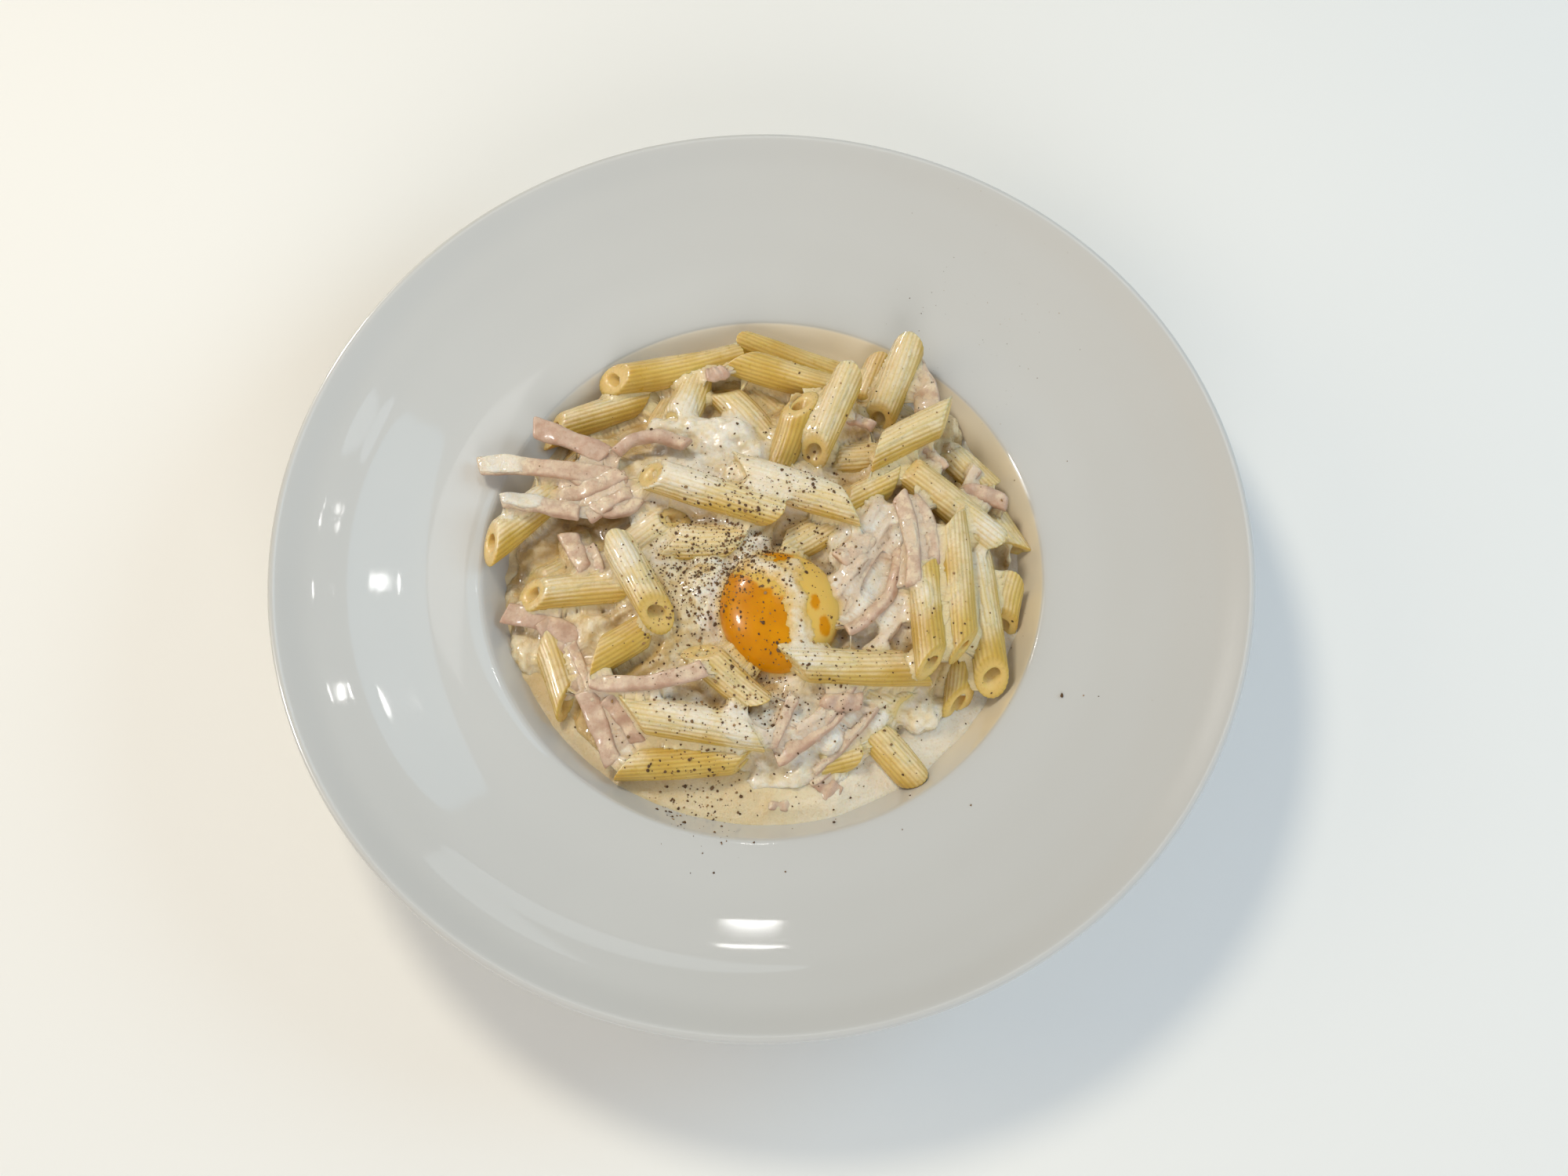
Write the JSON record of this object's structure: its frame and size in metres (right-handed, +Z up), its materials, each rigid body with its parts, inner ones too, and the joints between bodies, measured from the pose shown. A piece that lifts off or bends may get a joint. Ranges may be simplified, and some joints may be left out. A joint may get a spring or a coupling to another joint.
{
  "type": "pasta carbonara",
  "caption": "Wide-rimmed white bowl holding penne in cream sauce with ham strips, a raw egg yolk and ground black pepper.",
  "frame": {"origin": "centre of the foot ring, on the surface the bowl stands on", "axes": "+Z up out of the bowl, -Y towards the person eating"},
  "size_m": [0.2796, 0.28, 0.0557],
  "materials": {
    "glaze": "glossy white glaze",
    "cream": "glossy cream sauce",
    "pasta": "moist cooked pasta",
    "yolk": "wet glossy",
    "ham": "moist"
  },
  "bodies": {
    "root": {"bowl": "glaze", "cream_sauce": "cream", "penne_heap": "pasta", "egg_yolk": "yolk", "ham_strip_01": "ham", "ham_strip_02": "ham", "ham_strip_03": "ham", "ham_strip_04": "ham", "ham_strip_05": "ham", "ham_strip_06": "ham", "ham_strip_07": "ham", "ham_strip_08": "ham", "ham_strip_09": "ham", "ham_strip_10": "ham", "ham_strip_11": "ham", "ham_strip_12": "ham", "ham_strip_13": "ham", "ham_strip_14": "ham", "ham_strip_15": "ham", "ham_strip_16": "ham", "ham_strip_17": "ham", "ham_strip_18": "ham", "ham_strip_19": "ham", "ham_strip_20": "ham", "ham_strip_21": "ham", "ham_strip_22": "ham", "ham_strip_23": "ham", "ham_strip_24": "ham"}
  },
  "joints": []
}
